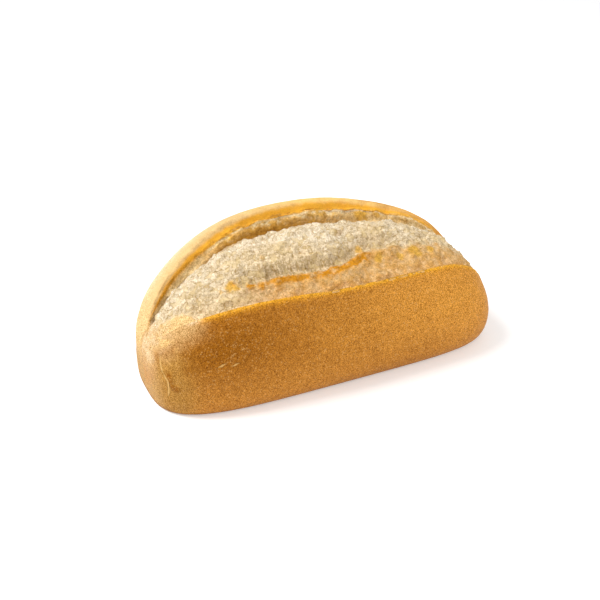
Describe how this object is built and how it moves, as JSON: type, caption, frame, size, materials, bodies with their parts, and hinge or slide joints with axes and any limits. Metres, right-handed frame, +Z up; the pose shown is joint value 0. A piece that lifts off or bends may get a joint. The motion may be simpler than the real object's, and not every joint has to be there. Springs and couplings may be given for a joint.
{
  "type": "bolillo roll",
  "caption": "Small blunt-ended white bread roll with a golden crust, torn wide open along its off-centre score to show pale floury crumb; rests on its flat underside.",
  "frame": {"origin": "middle of the bounding box in plan, on the plane of the flat underside", "axes": "+X along the roll towards its shallower end, +Y towards the high far lip of the score, +Z up"},
  "size_m": [0.1508, 0.0702, 0.0614],
  "materials": {
    "bread": "baked golden crust, dry and satin, with pale floury torn crumb"
  },
  "bodies": {
    "root": {"bolillo_roll": "bread"}
  },
  "joints": []
}
